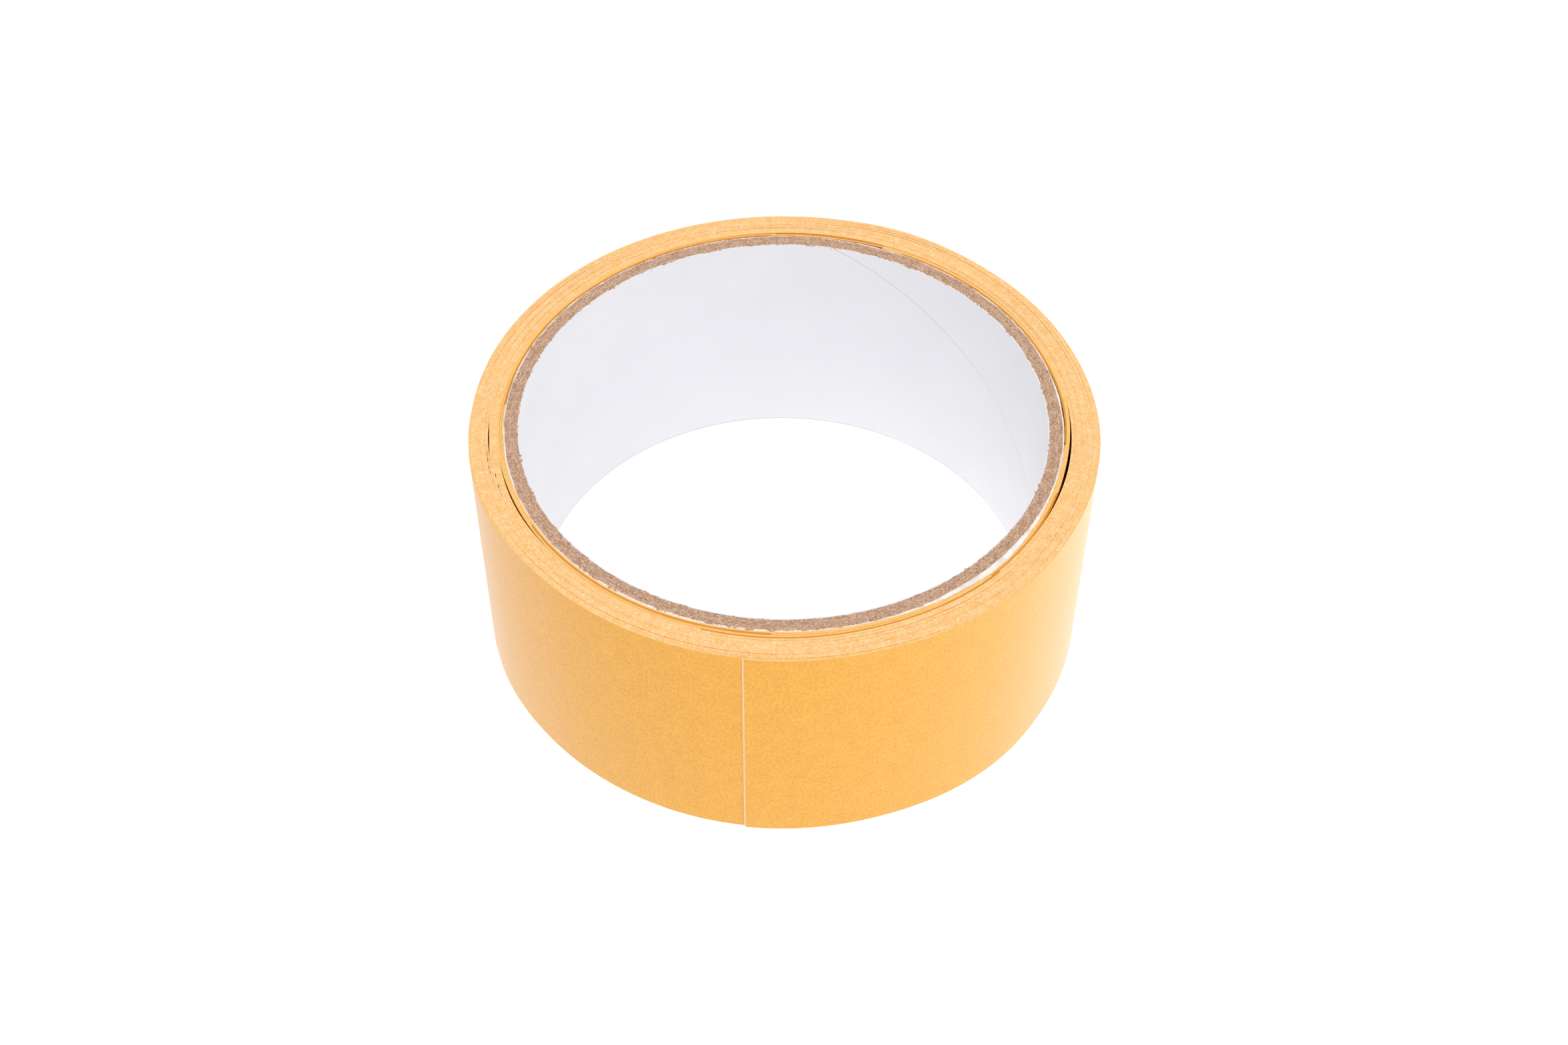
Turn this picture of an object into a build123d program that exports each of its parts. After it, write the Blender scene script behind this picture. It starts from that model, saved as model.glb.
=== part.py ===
from build123d import *
import math
import os

os.makedirs("parts", exist_ok=True)

# All lengths are in millimetres and all angles in degrees, counter-clockwise from +X seen from above.

# The log is slit to width through tape and core together, so both share one width.
roll_width = 38.0

# The core: strips of paper and board wound side by side up a mandrel.
core_bore_d = 76.2
core_inner_liner_t = 0.20
board_ply_t = 0.36
board_plies = 5
core_outer_liner_t = 0.30

# Each strip climbs by the same lead in one turn and leaves an open butt seam.
strip_lead = 113.0
strip_seam_gap = 0.30
inner_seam_angle = -42.4
seam_stagger = 137.0

# The tape: an adhesive-coated film with its release paper on the outside of every wrap.
film_t = 0.15
release_paper_t = 0.10
wrap_gap = 0.004

# The winding: where it starts on the core, where it ends and how many whole turns lie between.
start_angle = 68.0
end_angle = -96.6
whole_turns = 18

# The wraps climb over the start end, the first one steeply, each next one over twice the angle.
first_climb_angle = 12.0

# Slack pockets: (wraps beneath, middle angle, half width, height). Every later wrap rides over them.
slack_pockets = [
    (0, 2.0, 18.0, 0.14),
    (0, -46.0, 30.0, 0.30),
    (3, -16.0, 24.0, 0.34),
    (3, -94.0, 30.0, 0.10),
    (3, -154.0, 18.0, 0.22),
    (6, -160.0, 12.0, 0.12),
    (8, -172.0, 12.0, 0.20),
    (10, -166.0, 6.0, 0.10),
    (5, 68.0, 24.0, 0.14),
    (9, 62.0, 18.0, 0.14),
    (13, 68.0, 12.0, 0.10),
    (12, -46.0, 30.0, 0.14),
    (15, -52.0, 36.0, 0.14),
]

# The loose end: short lengths that hinge in turn, the last one with a liner tab that peels off its film.
tail_segment_angle = 12.0
tail_segments = 4
tail_start_angle = -40.0
tail_gap = 0.020
liner_tab_angle = 8.6

# The winding is drawn as arcs of this span, which also divides every climb and pocket edge.
arc_span = 12.0

core_bore_r = core_bore_d / 2
board_inner_r = core_bore_r + core_inner_liner_t
board_outer_r = board_inner_r + board_plies * board_ply_t
core_r = board_outer_r + core_outer_liner_t
pitch = film_t + release_paper_t + wrap_gap
total_angle = 360.0 * whole_turns + start_angle - end_angle
tail_from = total_angle - (tail_start_angle - end_angle)
tab_from = total_angle - liner_tab_angle


def save(solid, name):
    solid.label = name
    export_step(solid, f"parts/{name}.step")


def seam_blade(inner_r, outer_r, base_angle):
    """A thin radial fin twisted along the helix of a strip's butt seam."""
    reach = 0.5
    rise = roll_width + 2 * reach
    fin = Pos((inner_r + outer_r) / 2, 0) * Rectangle(outer_r - inner_r + 2 * reach, strip_seam_gap)
    turned = Rot(0, 0, base_angle - 360 * reach / strip_lead) * fin
    section = Pos(0, 0, -reach) * turned
    twist = 360 * rise / strip_lead
    return Solid.extrude_linear_with_rotation(
        section.face(), center=(0, 0, -reach), normal=(0, 0, rise), angle=twist
    )


def core_layer(inner_r, thickness, base_angle):
    """One wound strip of the core: a thin tube with its helical butt seam left open."""
    tube = Solid.make_cylinder(inner_r + thickness, roll_width)
    tube = tube - Solid.make_cylinder(inner_r, roll_width)
    return (tube - seam_blade(inner_r, inner_r + thickness, base_angle)).solid()


def climb(turned):
    """How many wraps the winding has risen by, after this much angle from its start."""
    turn = math.floor(turned / 360)
    into = turned - 360 * turn
    width = min(360.0, first_climb_angle * 2**turn)
    return turn + max(0.0, (into - (360 - width)) / width)


def swell(turned):
    """The height that the slack pockets beneath add at this point of the winding."""
    height = 0.0
    for beneath, middle, half_width, rise in slack_pockets:
        first = (start_angle - middle) % 360
        wrap = round((turned - first) / 360)
        away = abs(turned - first - 360 * wrap)
        if wrap >= beneath and away < half_width:
            height += rise * math.cos(math.pi / 2 * away / half_width) ** 2
    return height


def wound_r(turned):
    return core_r + wrap_gap + pitch * climb(turned) + swell(turned)


def wound_point(turned, offset):
    r = wound_r(turned) + offset
    at = math.radians(start_angle - turned)
    return Vector(r * math.cos(at), r * math.sin(at), 0)


def wound_edge(begin, end, offset):
    return Edge.make_three_point_arc(
        wound_point(begin, offset),
        wound_point((begin + end) / 2, offset),
        wound_point(end, offset),
    )


def wound_web(begin, end, inner, thickness):
    """One layer of the tape between two points of the winding, at a height above the film's inner face."""
    first = math.floor(begin / arc_span) + 1
    last = math.ceil(end / arc_span)
    stops = [begin] + [arc_span * i for i in range(first, last)] + [end]
    spans = list(zip(stops, stops[1:]))
    outer = inner + thickness
    edges = [wound_edge(a, b, inner) for a, b in spans]
    edges += [wound_edge(a, b, outer) for a, b in spans]
    for stop in (begin, end):
        edges.append(Edge.make_line(wound_point(stop, inner), wound_point(stop, outer)))
    return Solid.extrude(Face(Wire(edges)), Vector(0, 0, roll_width))


def core():
    save(core_layer(core_bore_r, core_inner_liner_t, inner_seam_angle), "bore_liner")
    for i in range(board_plies):
        inner_r = board_inner_r + i * board_ply_t
        angle = inner_seam_angle + (i + 1) * seam_stagger
        save(core_layer(inner_r, board_ply_t, angle), f"core_board_ply_{i + 1}")
    angle = inner_seam_angle + (board_plies + 1) * seam_stagger
    save(core_layer(board_outer_r, core_outer_liner_t, angle), "core_outer_liner")


def winding():
    """The tape up to its loose end. Its outermost turn, the next to come off, is drawn on its own."""
    outer_from = tail_from - 360.0
    save(wound_web(0.0, outer_from, 0.0, film_t), "adhesive_film")
    save(wound_web(0.0, outer_from, film_t, release_paper_t), "release_paper")
    save(wound_web(outer_from, tail_from, 0.0, film_t), "outer_turn_film")
    save(wound_web(outer_from, tail_from, film_t, release_paper_t), "outer_turn_paper")


def tail():
    lift = tail_gap - wrap_gap
    for i in range(tail_segments):
        begin = tail_from + i * tail_segment_angle
        last = i == tail_segments - 1
        end = total_angle if last else begin + tail_segment_angle
        paper_end = tab_from if last else end
        save(wound_web(begin, end, lift, film_t), f"tail_film_{i + 1}")
        save(wound_web(begin, paper_end, lift + film_t, release_paper_t), f"tail_paper_{i + 1}")
    save(wound_web(tab_from, total_angle, lift + film_t, release_paper_t), "paper_tab")


core()
winding()
tail()
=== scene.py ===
import math
import random

import bmesh
import bpy
from mathutils import Matrix, Vector, noise


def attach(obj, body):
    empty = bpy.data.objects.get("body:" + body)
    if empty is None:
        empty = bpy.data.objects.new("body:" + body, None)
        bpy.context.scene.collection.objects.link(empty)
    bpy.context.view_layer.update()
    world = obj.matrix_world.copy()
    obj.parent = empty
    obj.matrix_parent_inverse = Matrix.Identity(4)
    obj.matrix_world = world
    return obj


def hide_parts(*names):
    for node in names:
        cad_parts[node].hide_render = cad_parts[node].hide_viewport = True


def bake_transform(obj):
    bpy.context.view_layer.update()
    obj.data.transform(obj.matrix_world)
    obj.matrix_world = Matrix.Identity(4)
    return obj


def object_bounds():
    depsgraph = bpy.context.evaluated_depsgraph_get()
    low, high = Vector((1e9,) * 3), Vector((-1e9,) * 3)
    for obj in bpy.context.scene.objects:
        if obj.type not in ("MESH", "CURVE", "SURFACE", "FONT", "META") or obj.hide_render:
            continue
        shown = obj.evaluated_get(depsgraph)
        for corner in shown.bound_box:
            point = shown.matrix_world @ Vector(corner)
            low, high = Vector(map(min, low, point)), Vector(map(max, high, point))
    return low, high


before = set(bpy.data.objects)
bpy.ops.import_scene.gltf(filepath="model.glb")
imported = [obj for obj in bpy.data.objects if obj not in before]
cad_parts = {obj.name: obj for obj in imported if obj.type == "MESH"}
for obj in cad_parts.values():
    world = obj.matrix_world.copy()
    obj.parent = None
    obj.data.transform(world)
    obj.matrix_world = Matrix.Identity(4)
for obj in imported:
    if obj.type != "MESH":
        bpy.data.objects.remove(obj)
size_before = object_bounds()
dice = random.Random(11)

# Sizes are in millimetres and angles in degrees, counter-clockwise from +X. The roll stands on z = 0.
MM = 0.001
WIDTH = (size_before[1][2] - size_before[0][2]) / MM
BORE_R = 38.1
LINING_T = 0.20
PLY_T = 0.36
PLIES = 5
WHITE_T = 0.30
BOARD_R = BORE_R + LINING_T
WHITE_R = BOARD_R + PLIES * PLY_T
CORE_R = WHITE_R + WHITE_T
CORE_MEAN_R = 39.2
HAIR = 0.01

# The tape: carrier film and release paper wound together, clockwise, from START to END.
FILM_T = 0.15
PAPER_T = 0.10
WRAP_GAP = 0.004
TAIL_LIFT = 0.016
START, END, WHOLE_TURNS = 68.0, -96.6, 18
FIRST_CLIMB = 12.0
TAIL_STEP, TAIL_COUNT, TAB_ANGLE = 12.0, 4, 8.6
PAPER_SETBACK = 0.24
PITCH = FILM_T + PAPER_T + WRAP_GAP
TOTAL = 360.0 * WHOLE_TURNS + START - END
TAIL_SPAN = 56.6
TAIL_FROM = TOTAL - TAIL_SPAN
TAB_FROM = TOTAL - TAB_ANGLE
OUTER_R = 45.4
MEAN_R = 42.8
TAPE_STEP = 0.5
THINNEST = -0.06

# Slack pockets: wraps beneath, middle angle, half width, height.
POCKETS = [
    (0, 2.0, 18.0, 0.14),
    (0, -46.0, 30.0, 0.30),
    (3, -16.0, 24.0, 0.34),
    (3, -94.0, 30.0, 0.10),
    (3, -154.0, 18.0, 0.22),
    (6, -160.0, 12.0, 0.12),
    (7, -172.0, 12.0, 0.20),
    (8, -166.0, 6.0, 0.10),
    (5, 68.0, 24.0, 0.14),
    (9, 62.0, 18.0, 0.14),
    (13, 68.0, 12.0, 0.10),
    (12, -46.0, 30.0, 0.14),
    (15, -52.0, 36.0, 0.14),
]

# Where a pocket stays open at the slit face, in the same terms. The paper below fills the rest of it.
OPENINGS = [
    (1, 78.0, 14.0, 0.08),
    (2, 90.0, 14.0, 0.09),
    (4, -80.0, 40.0, 0.03),
    (3, -14.0, 22.0, 0.40),
    (3, -154.0, 16.0, 0.22),
    (2, 178.0, 20.0, 0.03),
    (1, -176.0, 20.0, 0.02),
    (7, -173.5, 6.5, 0.18),
]

# Openings that torn fibre bridges here and there, in the same terms.
BROKEN = [
    (8, -166.5, 6.5, 0.13),
    (6, -162.0, 9.0, 0.11),
    (7, 150.0, 14.0, 0.03),
    (12, -30.0, 16.0, 0.04),
]

# Where the adhesive shows as a deep amber line at the slit edge: wrap, middle angle, half width.
GLUE_LINES = [
    (0, 28.0, 38.0),
    (0, 135.0, 45.0),
    (1, 80.0, 13.0),
    (1, -120.0, 30.0),
    (3, -75.0, 32.0),
    (2, -34.0, 14.0),
]

# The bore lining's butt seam climbs the bore once in each lead.
STRIP_LEAD = 113.0
SEAM_BASE = -42.4
SEAM_GAP = 0.14

CRISP_ANGLE = 35.0

# Amber paper has a faint clear coat: silicone.
AMBER_COAT = {"Coat_Weight": 0.45, "Coat_Roughness": 0.28, "Specular_IOR_Level": 0.3}

# The studio: the floor's glow at either side, how far out it levels off in metres, and the sky's glow.
PURE_WHITE = (1.0, 1.0, 1.0)
FLOOR_LEFT, FLOOR_RIGHT = 1.12, 1.54
FLOOR_SPAN = 0.10
FLOOR_SIZE, FLOOR_DROP = 8.0, 0.0002
SKY = 0.81
SKY_SLOPE = (0.22, -0.11, 0.41)

# The camera: lens and sensor in mm, angles in degrees, the point it aims at and its distance in mm.
LENS, SENSOR = 50.06, 36.0
CAMERA_RISE, CAMERA_ROLL = 47.406, -0.4306
CAMERA_AIM = (0.150, -3.344, WIDTH / 2)
CAMERA_DISTANCE = 326.606


# ---------------------------------------------------------------- materials


class Value:
    """A shader socket that arithmetic can be done on."""

    def __init__(self, paint, socket):
        self.paint, self.socket = paint, socket

    def maths(self, operation, first, second):
        return self.paint.node("ShaderNodeMath", {"operation": operation}, {0: first, 1: second})

    def __add__(self, other):
        return self.maths("ADD", self, other)

    def __mul__(self, other):
        return self.maths("MULTIPLY", self, other)

    __radd__ = __add__
    __rmul__ = __mul__

    def rise(self, low, high):
        """0 below low and 1 above high, smooth between; the other way round where low is the larger."""
        ends = {"Value": self, "From Min": low, "From Max": high}
        return self.paint.node("ShaderNodeMapRange", {"interpolation_type": "SMOOTHSTEP"}, ends)


class Paint:
    """The nodes of a material, or of the sky."""

    def __init__(self, owner):
        owner.use_nodes = True
        self.owner, self.tree = owner, owner.node_tree
        self.tree.nodes.clear()

    def node(self, kind, settings, inputs, output=0):
        made = self.tree.nodes.new(kind)
        for key, value in settings.items():
            setattr(made, key, value)
        for key, value in inputs.items():
            socket = made.inputs[key]
            if isinstance(value, Value):
                self.tree.links.new(value.socket, socket)
            elif socket.type == "RGBA":
                socket.default_value = (*value, 1.0)
            else:
                socket.default_value = value
        return Value(self, made.outputs[output]) if made.outputs else None

    def spot(self, along, across):
        """Where a point lies on its strip, measured in these two lengths."""
        place = self.node("ShaderNodeUVMap", {"uv_map": "place"}, {})
        scale = {0: place, 1: (1 / along, 1 / across, 1)}
        return self.node("ShaderNodeVectorMath", {"operation": "MULTIPLY"}, scale)

    def height(self):
        """The second of the two place values: how far up, or how far out, in mm."""
        place = self.node("ShaderNodeUVMap", {"uv_map": "place"}, {})
        return self.node("ShaderNodeSeparateXYZ", {}, {0: place}, 1)

    def noise(self, along, across, detail=2.0, rough=0.5):
        inputs = {"Vector": self.spot(along, across), "Scale": 1.0, "Detail": detail, "Roughness": rough}
        return self.node("ShaderNodeTexNoise", {}, inputs)

    def mix(self, first, second, share):
        return self.node("ShaderNodeMix", {"data_type": "RGBA"}, {0: share, 6: first, 7: second}, 2)

    def bump(self, height, depth):
        """Relief of this depth in mm."""
        return self.node("ShaderNodeBump", {}, {"Height": height, "Distance": depth * MM, "Strength": 1.0})

    def surface(self, **inputs):
        named = {key.replace("_", " "): value for key, value in inputs.items()}
        shader = self.node("ShaderNodeBsdfPrincipled", {}, named)
        self.node("ShaderNodeOutputMaterial", {}, {"Surface": shader})
        return self.owner


def material(name):
    return Paint(bpy.data.materials.new(name))


def screen(red, green, blue):
    """A colour given as 0 to 255 on a screen, in linear light."""
    return tuple(((c / 255 + 0.055) / 1.055) ** 2.4 for c in (red, green, blue))


def amber_release_paper():
    p = material("amber_release_paper")
    cloud = p.noise(2.0, 3.0, 3.0, 0.6)
    grain = p.noise(0.34, 0.55, 3.0, 0.7)
    speck = p.noise(0.50, 0.70, 1.0).rise(0.72, 0.80)
    tone = (cloud * 0.22 + grain * 0.78).rise(0.36, 0.64)
    colour = p.mix(screen(220, 151, 26), screen(236, 172, 46), tone)
    colour = p.mix(colour, screen(204, 132, 36), speck * 0.45)
    rough = cloud * 0.10 + 0.30
    normal = p.bump(grain + cloud * 0.2, 0.008)
    return p.surface(Base_Color=colour, Roughness=rough, Normal=normal, **AMBER_COAT)


def slit_edge(name, deep, pale):
    """The slit edge of the tape: blotched, and more yellow by the core. Its place is x and y in mm."""
    p = material(name)
    blot = p.noise(1.5, 1.5, 3.0, 0.6)
    fleck = p.noise(0.42, 0.42, 2.0, 0.6)
    grain = p.noise(0.16, 0.16, 1.0)
    tone = (blot * 0.45 + fleck * 0.30 + grain * 0.25).rise(0.36, 0.64)
    colour = p.mix(screen(*deep), screen(*pale), tone)
    colour = p.mix(colour, screen(253, 226, 184), fleck.rise(0.56, 0.72) * 0.75)
    colour = p.mix(colour, screen(248, 174, 88), fleck.rise(0.44, 0.30) * 0.55)
    out = p.node("ShaderNodeVectorMath", {"operation": "LENGTH"}, {0: p.spot(1.0, 1.0)}, 1)
    colour = p.mix(colour, screen(250, 186, 78), out.rise(41.6, 40.8) * 0.6)
    return p.surface(Base_Color=colour, Roughness=0.55, Normal=p.bump(fleck + grain, 0.03))


def clouded(name, first, second):
    """Two close colours that drift into each other."""
    p = material(name)
    cloud = p.noise(1.5, 1.5)
    return p.surface(Base_Color=p.mix(screen(*first), screen(*second), cloud), Roughness=0.4)


def brown_board():
    p = material("brown_board")
    fibre = p.noise(0.55, 0.22, 3.0, 0.7)
    blot = p.noise(1.6, 0.9)
    speck = p.noise(0.30, 0.26, 1.0)
    tone = (fibre * 0.65 + blot * 0.35).rise(0.36, 0.64)
    colour = p.mix(screen(172, 132, 104), screen(216, 180, 153), tone)
    colour = p.mix(colour, screen(236, 214, 196), speck.rise(0.56, 0.72) * 0.75)
    colour = p.mix(colour, screen(136, 98, 76), speck.rise(0.44, 0.28) * 0.65)
    normal = p.bump(fibre + speck * 0.8, 0.10)
    return p.surface(Base_Color=colour, Roughness=0.9, Normal=normal, Specular_IOR_Level=0.2)


def white_lining_paper():
    """Nearly plain, with a grey foot: painted shade where it stands on the floor."""
    p = material("white_lining_paper")
    cloud = p.noise(14.0, 12.0)
    grain = p.noise(0.5, 0.4, 3.0, 0.6)
    colour = p.mix(screen(228, 227, 231), screen(232, 231, 235), (cloud * 0.5 + grain * 0.5).rise(0.30, 0.70))
    # Painted shade: greyer along the bottom 0.1 to 0.3 mm, where the lining meets the floor.
    colour = p.mix(colour, screen(196, 194, 197), p.height().rise(0.30, 0.10) * 0.8)
    return p.surface(Base_Color=colour, Roughness=0.6, Normal=p.bump(grain, 0.004), Specular_IOR_Level=0.3)


def white_outer_paper():
    """White where it is cut, and amber with adhesive on the side that the tape is wound on."""
    p = material("white_outer_paper")
    grain = p.noise(0.5, 0.4, 3.0, 0.6)
    blot = p.noise(2.2, 1.0)
    colour = p.mix(screen(230, 217, 209), screen(246, 240, 236), (blot * 0.6 + grain * 0.4).rise(0.34, 0.58))
    colour = p.mix(colour, screen(226, 150, 40), p.height().rise(39.4, 38.6))
    return p.surface(Base_Color=colour, Roughness=0.6, Normal=p.bump(grain, 0.03), Specular_IOR_Level=0.3)


AMBER = amber_release_paper()
PAPER_EDGE = slit_edge("release_paper_edge", (246, 182, 104), (250, 206, 146))
FILM_EDGE = slit_edge("film_edge", (248, 192, 114), (251, 214, 152))
RIM_EDGE = clouded("outer_paper_edge", (240, 172, 72), (246, 190, 96))
GLUE = clouded("amber_glue_line", (208, 130, 6), (224, 150, 22))
# Painted shade: the film's faces in the winding show only in the gaps between wraps, so they get a darker
# amber than the bare film, for the shade in those gaps.
GAP_SHADED_FILM = clouded("film_face_gap_shade", (204, 116, 22), (214, 128, 32))
BARE_FILM = clouded("bare_film_face", (232, 198, 160), (240, 210, 174))
BOARD = brown_board()
LINING = white_lining_paper()
WHITE = white_outer_paper()


# ---------------------------------------------------------------- shapes


def drift(distance, step, row):
    """Smooth chance, about -1 to 1, along a line. Each row is another line."""
    return 1.6 * noise.noise((distance / step, 17.3 * row, 0.5))


def ring_drift(angle, step, row):
    """The same around a ring, meeting itself; the step is in mm."""
    turn = math.radians(angle)
    reach = CORE_MEAN_R / step
    return 1.6 * noise.noise((reach * math.cos(turn), reach * math.sin(turn), 17.3 * row))


def hump(angle, middle, half_width):
    away = abs((angle - middle + 180) % 360 - 180)
    if away > half_width:
        return 0.0
    return math.cos(math.pi / 2 * away / half_width) ** 2


def polar(r, angle, z):
    turn = math.radians(angle)
    return Vector((r * math.cos(turn), r * math.sin(turn), z)) * MM


def angle_of(point):
    return math.degrees(math.atan2(point.y, point.x))


def climb(turned):
    """How many wraps lie beneath a point of the tape: each climbs onto the next over part of a turn."""
    turn = math.floor(turned / 360)
    into = turned - 360 * turn
    width = min(360.0, FIRST_CLIMB * 2**turn)
    return turn + max(0.0, (into - (360 - width)) / width)


def pocket_at(pocket, turned):
    """How many wraps a point of the tape lies out from a pocket, and the pocket's height there."""
    beneath, middle, half_width, rise = pocket
    first = (START - middle) % 360
    wrap = round((turned - first) / 360)
    away = abs(turned - first - 360 * wrap)
    return wrap - beneath, rise * math.cos(math.pi / 2 * min(1.0, away / half_width)) ** 2


def heights(pockets, turned):
    """How many wraps a point of the tape lies out from each of these pockets, with its height there."""
    return [pocket_at(pocket, turned) for pocket in pockets]


def swell(turned):
    """How far the slack pockets beneath a point of the tape push it out."""
    return sum(height for out, height in heights(POCKETS, turned) if out >= 0)


def packing(turned):
    """How much thicker the paper is where the next wrap stands off it: all of the slack that isn't open."""
    if turned + 360 > TOTAL:
        return 0.0
    slack = wound_r(turned + 360) - wound_r(turned) - PITCH
    clear = sum(height for out, height in heights(OPENINGS, turned) if out == -1)
    torn = sum(height for out, height in heights(BROKEN, turned) if out == -1)
    clear += torn * max(0.0, min(1.0, 0.6 + 2.5 * drift(turned, 0.9, 5)))
    return max(THINNEST, slack - clear)


def glued(turned):
    """Whether adhesive shows at the slit edge at this point of the tape."""
    lines = [(*line, 1.0) for line in GLUE_LINES]
    return any(out == 0 and share > 0.01 for out, share in heights(lines, turned))


def wound_r(turned):
    """The radius of the film's inner face."""
    return CORE_R + WRAP_GAP + PITCH * climb(turned) + swell(turned)


def finished(bm, name, materials, body=None):
    """Makes a piece of a bmesh: normals outwards, smooth faces, crisp corners."""
    bmesh.ops.recalc_face_normals(bm, faces=bm.faces)
    for face in bm.faces:
        face.smooth = True
    for edge in bm.edges:
        edge.smooth = edge.calc_face_angle(0.0) < math.radians(CRISP_ANGLE)
    mesh = bpy.data.meshes.new(name)
    bm.to_mesh(mesh)
    bm.free()
    piece = bpy.data.objects.new(name, mesh)
    bpy.context.scene.collection.objects.link(piece)
    for material in materials:
        mesh.materials.append(material)
    if body:
        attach(piece, body)
    return piece


# ---------------------------------------------------------------- tape


def sheet(columns, rows):
    """A flat closed sheet: x and y run from 0 to 1 and its two faces are at z = 0 and z = 1."""
    bm = bmesh.new()
    bmesh.ops.create_grid(bm, x_segments=columns, y_segments=rows, size=0.5)
    bmesh.ops.translate(bm, verts=bm.verts, vec=(0.5, 0.5, 0.0))
    grown = bmesh.ops.extrude_face_region(bm, geom=bm.faces[:], use_keep_orig=True)
    lifted = [item for item in grown["geom"] if isinstance(item, bmesh.types.BMVert)]
    bmesh.ops.translate(bm, verts=lifted, vec=(0.0, 0.0, 1.0))
    return bm


def edge_slot(turned, materials):
    """Which material a slit edge has here: the third, where there is one, for adhesive."""
    return 2 if len(materials) > 2 and glued(turned) else 1


def tape(name, begin, end, low, thick, materials, node):
    """One layer of tape between two points of the winding, its edges a little uneven from wrap to wrap."""
    bm = sheet(max(2, int((end - begin) / TAPE_STEP)), 1)
    place = bm.loops.layers.uv.new("place")
    for face in bm.faces:
        flat = len({round(vert.co.z) for vert in face.verts}) == 1
        middle = begin + (end - begin) * face.calc_center_median().x
        face.material_index = 0 if flat else edge_slot(middle, materials)
        for loop in face.loops:
            turned = begin + (end - begin) * loop.vert.co.x
            r = wound_r(turned) + low + thick * loop.vert.co.z
            if flat:
                loop[place].uv = (math.radians(turned) * MEAN_R, WIDTH * loop.vert.co.y)
            else:
                loop[place].uv = polar(r, START - turned, 0.0).xy / MM
    is_paper = low > FILM_T / 2
    for vert in bm.verts:
        turned = begin + (end - begin) * vert.co.x
        top = WIDTH - 0.05 - 0.05 * drift(turned, 40.0, 1)
        foot = 0.03 + 0.03 * drift(turned, 50.0, 2)
        z = foot + (min(top, WIDTH) - foot) * vert.co.y
        fill = packing(turned) if is_paper and vert.co.z > 0.5 else 0.0
        vert.co = polar(wound_r(turned) + low + thick * vert.co.z + fill, START - turned, max(0.0, z))
    piece = finished(bm, name, materials)
    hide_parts(node)
    return piece


def winding():
    """All the wound tape, its outermost turn apart from the rest."""
    outer_from = TAIL_FROM - 360.0
    for name, begin, end, film_node, paper_node, edge in (
        ("winding", 0.0, outer_from, "adhesive_film", "release_paper", PAPER_EDGE),
        ("outer_turn", outer_from, TAIL_FROM, "outer_turn_film", "outer_turn_paper", RIM_EDGE),
    ):
        film = tape(f"film_{name}", begin, end, 0.0, FILM_T, (GAP_SHADED_FILM, FILM_EDGE, GLUE), film_node)
        paper = tape(f"paper_{name}", begin, end, FILM_T, PAPER_T, (AMBER, edge, GLUE), paper_node)
        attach(film, "roll")
        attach(paper, "roll")


def hinge_point(turned):
    """A point of the loose end: at its outer face, halfway up."""
    return polar(wound_r(turned) + TAIL_LIFT + FILM_T + PAPER_T, START - turned, WIDTH / 2)


def tail():
    """The loose end in four lengths, and the paper tab at the very end."""
    low = TAIL_LIFT + FILM_T
    for i in range(1, TAIL_COUNT + 1):
        begin = TAIL_FROM + (i - 1) * TAIL_STEP
        film_end = begin + TAIL_STEP if i < TAIL_COUNT else TOTAL
        paper_end = begin + TAIL_STEP if i < TAIL_COUNT else TAB_FROM
        film_looks, paper_looks = (BARE_FILM, FILM_EDGE), (AMBER, RIM_EDGE)
        film = tape(f"film_end_{i}", begin, film_end, TAIL_LIFT, FILM_T, film_looks, f"tail_film_{i}")
        paper = tape(f"paper_end_{i}", begin, paper_end, low, PAPER_T, paper_looks, f"tail_paper_{i}")
        for piece, slot in ((film, "adhesive_film"), (paper, "amber_release_paper")):
            hinge_point(begin)
            hinge_point(begin + 0.9 * TAIL_STEP)
            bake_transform(piece)
    tab_end = TOTAL - math.degrees(PAPER_SETBACK / OUTER_R)
    tab = tape("paper_tab_end", TAB_FROM, tab_end, low, PAPER_T, (AMBER, RIM_EDGE), "paper_tab")
    hinge_point(TAB_FROM)
    hinge_point(TAB_FROM + 0.7 * TAB_ANGLE)
    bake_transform(tab)


# ---------------------------------------------------------------- core


def ring(name, section, shape, materials, node, steps=1440):
    """A flat grid rolled up into a closed section of (radius, height) points, each then moved by shape."""
    bm = bmesh.new()
    count = len(section)
    bmesh.ops.create_grid(bm, x_segments=steps, y_segments=count, size=0.5)
    for vert in bm.verts:
        r, z = section[round((vert.co.y + 0.5) * count) % count]
        vert.co = polar(r, 360 * (vert.co.x + 0.5), z)
    bmesh.ops.remove_doubles(bm, verts=bm.verts, dist=0.001 * MM)
    place = bm.loops.layers.uv.new("place")
    for face in bm.faces:
        middle = angle_of(face.calc_center_median())
        level = len({round(vert.co.z / MM, 1) for vert in face.verts}) == 1
        for loop in face.loops:
            turn = middle + (angle_of(loop.vert.co) - middle + 180) % 360 - 180
            across = loop.vert.co.xy.length if level else loop.vert.co.z
            loop[place].uv = (math.radians(turn) * CORE_MEAN_R, across / MM)
    for vert in bm.verts:
        vert.co = polar(*shape(vert.co.xy.length / MM, angle_of(vert.co), vert.co.z / MM))
    piece = finished(bm, name, materials, "roll")
    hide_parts(node)
    return piece


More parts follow.
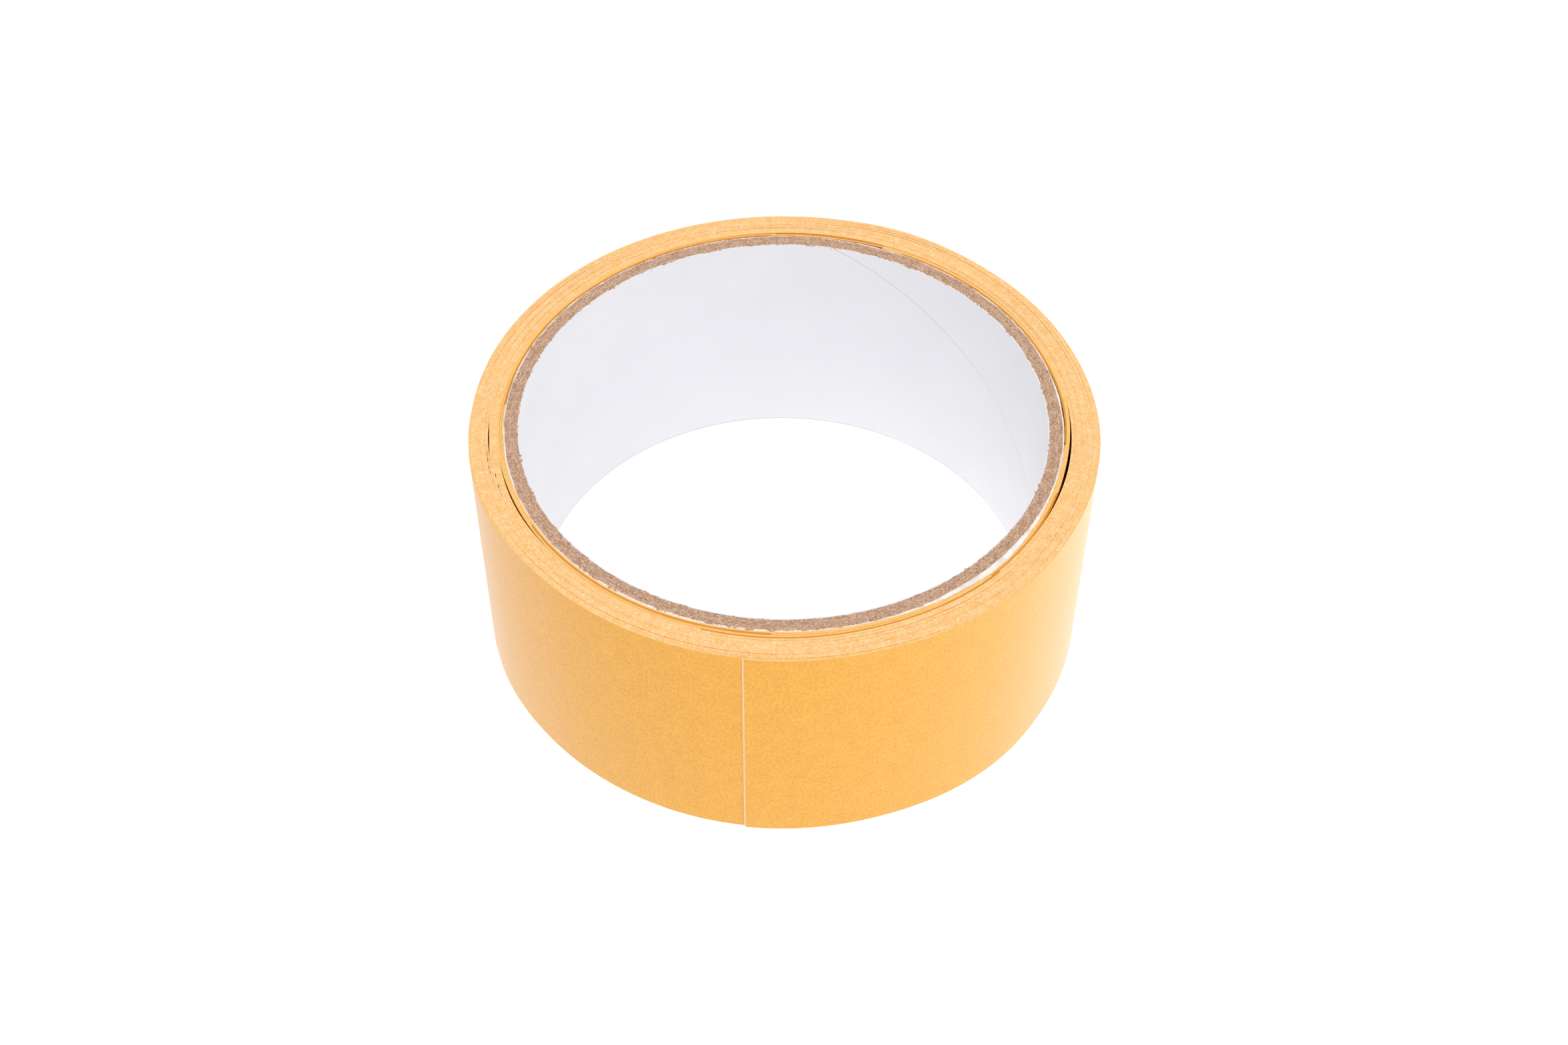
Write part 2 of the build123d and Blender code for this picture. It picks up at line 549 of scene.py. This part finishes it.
def board_ply(i):
    """One ply of the board: its sawn top is fibrous, and the innermost one's edge is ragged."""
    inner = BOARD_R + i * PLY_T
    outer = inner + PLY_T
    third = PLY_T / 3
    top = [(outer, WIDTH), (outer - third, WIDTH), (inner + third, WIDTH), (inner, WIDTH)]
    section = [(inner, 0.0), (outer, 0.0), *top, (inner, WIDTH - 0.9)]

    def shape(r, angle, z):
        if z > WIDTH - HAIR:
            ragged = max(0.0, 1 - (r - inner) / third) if i == 0 else 0.0
            row = 10 * i + round((r - inner) / third)
            fibre, wave = ring_drift(angle, 0.25, row), ring_drift(angle, 1.6, i)
            z -= 0.05 + 0.035 * fibre + 0.03 * wave + 0.04 * ragged
            tear = 0.09 + 0.14 * ring_drift(angle, 0.45, 3) + 0.08 * ring_drift(angle, 2.5, 4)
            r -= ragged * max(0.0, tear)
            r = max(r, BORE_R - 0.12)
            if i == PLIES - 1 and r > outer - HAIR:
                fringe = max(0.0, 0.09 + 0.09 * ring_drift(angle, 2.0, 15))
                r += fringe * (1 - hump(angle, -44.0, 34.0)) + 0.12 * hump(angle, -110.0, 50.0)
        return r, angle, min(z, WIDTH)

    ring(f"board_{i + 1}", section, shape, (BOARD,), f"core_board_ply_{i + 1}")


def white_outer():
    """The outer paper of the core, nicked by the saw and bent outwards at the front."""
    top = [(CORE_R, WIDTH), (CORE_R - 0.1, WIDTH), (WHITE_R, WIDTH)]
    section = [(WHITE_R, 0.0), (CORE_R, 0.0), (CORE_R, WIDTH - 0.3), *top]

    def shape(r, angle, z):
        if r > WHITE_R + HAIR:
            r += 0.28 * hump(angle, -46.0, 28.0)
        if z > WIDTH - HAIR:
            nick = max(0.0, ring_drift(angle, 0.8, 6) - 0.35)
            lip = 0.30 * hump(angle, -44.0, 24.0) + 0.16 * hump(angle, -110.0, 60.0)
            z -= max(0.0, 0.11 - 0.5 * lip) + 0.02 * ring_drift(angle, 0.4, 7) + 0.12 * nick
            r += 0.03 * ring_drift(angle, 0.7, 8) + 0.03 * ring_drift(angle, 3.0, 9)
            r += lip if r > WHITE_R + 0.1 else 0.0
        return r, angle, min(z, WIDTH)

    ring("outer_paper_of_core", section, shape, (WHITE,), "core_outer_liner")


def lining():
    """The paper in the bore, on a grid that leans with its butt seam. Its top edge is torn by the saw."""
    bm = sheet(1080, 24)
    place = bm.loops.layers.uv.new("place")
    turn = 360.0 - math.degrees(SEAM_GAP / BORE_R)
    lay = {}
    for vert in bm.verts:
        share = vert.co.x * turn
        torn = 0.07 + 0.05 * ring_drift(share, 0.5, 12) + 0.05 * ring_drift(share, 3.0, 13)
        z = vert.co.y * (WIDTH - max(0.0, torn))
        angle = SEAM_BASE + 360.0 * z / STRIP_LEAD + share
        lay[vert] = (BORE_R + LINING_T * vert.co.z, angle, z)
    for face in bm.faces:
        for loop in face.loops:
            r, angle, z = lay[loop.vert]
            loop[place].uv = (math.radians(angle) * BORE_R, z)
    for vert, (r, angle, z) in lay.items():
        vert.co = polar(r, angle, z)
    piece = finished(bm, "bore_lining", (LINING,), "roll")
    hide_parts("bore_liner")


def burr(bm, angle, wide, long):
    """A tuft of torn fibre that hangs from the board's inner edge into the bore."""
    size = {"radius1": wide * MM, "radius2": 0.2 * wide * MM, "depth": long * MM}
    lean = Matrix.Rotation(math.radians(angle), 4, "Z") @ Matrix.Rotation(math.radians(-125), 4, "Y")
    at = Matrix.Translation(polar(BOARD_R - 0.05, angle, WIDTH - 0.22))
    made = bmesh.ops.create_cone(bm, matrix=at @ lean, cap_ends=True, segments=5, **size)
    for vert in made["verts"]:
        vert.co += Vector([dice.uniform(-0.05, 0.05) * MM for _ in range(3)])
        vert.co.z = min(vert.co.z, (WIDTH - HAIR) * MM)


def burrs():
    """Tufts in bunches: middle angle, how many, and how long."""
    bm = bmesh.new()
    for middle, tufts, long in (
        (114.5, 4, 0.45),
        (123.0, 4, 0.55),
        (140.4, 4, 0.45),
        (155.5, 3, 0.35),
        (86.0, 3, 0.40),
        (-172.0, 2, 0.35),
        (-163.1, 3, 0.45),
        (-159.5, 3, 0.35),
        (-157.4, 2, 0.45),
        (-53.0, 2, 0.30),
        (-49.2, 2, 0.30),
        (28.0, 2, 0.30),
        (51.0, 2, 0.30),
    ):
        for _ in range(tufts):
            burr(bm, middle + dice.gauss(0, 0.45), dice.uniform(0.07, 0.14), long * dice.uniform(0.6, 1.0))
    place = bm.loops.layers.uv.new("place")
    for face in bm.faces:
        for loop in face.loops:
            loop[place].uv = (loop.vert.co.x / MM, (loop.vert.co.y + loop.vert.co.z) / MM)
    finished(bm, "board_burrs", (BOARD,), "roll")


# ---------------------------------------------------------------- studio


def floor():
    """A white sheet that glows past white and so lights the roll from below: painted light, stronger on the
    right, with a painted shadow of the roll on the left.
    """
    p = material("pale_floor")
    place = p.node("ShaderNodeTexCoord", {}, {}, 3)
    side = p.node("ShaderNodeSeparateXYZ", {}, {0: place}, 0).rise(-FLOOR_SPAN, FLOOR_SPAN)
    # Painted light and shadow: the glow rises from the roll's left side to its right side.
    light = side * (FLOOR_RIGHT - FLOOR_LEFT) + FLOOR_LEFT
    glow = p.node("ShaderNodeEmission", {}, {"Color": light, "Strength": 1.0})
    p.node("ShaderNodeOutputMaterial", {}, {"Surface": glow})
    bpy.ops.mesh.primitive_plane_add(size=FLOOR_SIZE, location=(0, 0, -FLOOR_DROP))
    plane = bpy.context.object
    plane.name = "floor"
    plane.data.materials.append(p.owner)


def sky():
    """Soft light from all round, a little stronger from some sides."""
    world = bpy.data.worlds.new("studio")
    p = Paint(world)
    side = p.node("ShaderNodeTexCoord", {}, {}, 0)
    slope = p.node("ShaderNodeVectorMath", {"operation": "DOT_PRODUCT"}, {0: side, 1: SKY_SLOPE}, 1)
    glow = p.node("ShaderNodeBackground", {}, {"Color": PURE_WHITE, "Strength": slope + SKY})
    p.node("ShaderNodeOutputWorld", {}, {"Surface": glow})
    bpy.context.scene.world = world


def camera():
    """Looks along +Y and down, from in front of the roll."""
    rise, roll = math.radians(CAMERA_RISE), math.radians(CAMERA_ROLL)
    ahead = Vector((0, math.cos(rise), -math.sin(rise)))
    right, down = Vector((1, 0, 0)), Vector((0, -math.sin(rise), -math.cos(rise)))
    across = right * math.cos(roll) + down * math.sin(roll)
    above = right * math.sin(roll) - down * math.cos(roll)
    lens = bpy.data.cameras.new("camera")
    lens.lens, lens.sensor_width = LENS, SENSOR
    lens.clip_start, lens.clip_end = 0.01, 20
    made = bpy.data.objects.new("camera", lens)
    bpy.context.scene.collection.objects.link(made)
    turn = Matrix((across, above, -ahead)).transposed().to_4x4()
    at = (Vector(CAMERA_AIM) - ahead * CAMERA_DISTANCE) * MM
    made.matrix_world = Matrix.Translation(at) @ turn
    bpy.context.scene.camera = made


winding()
tail()
for number in range(PLIES):
    board_ply(number)
white_outer()
lining()
burrs()
floor()
sky()
camera()
bpy.context.scene.view_settings.view_transform = "Standard"
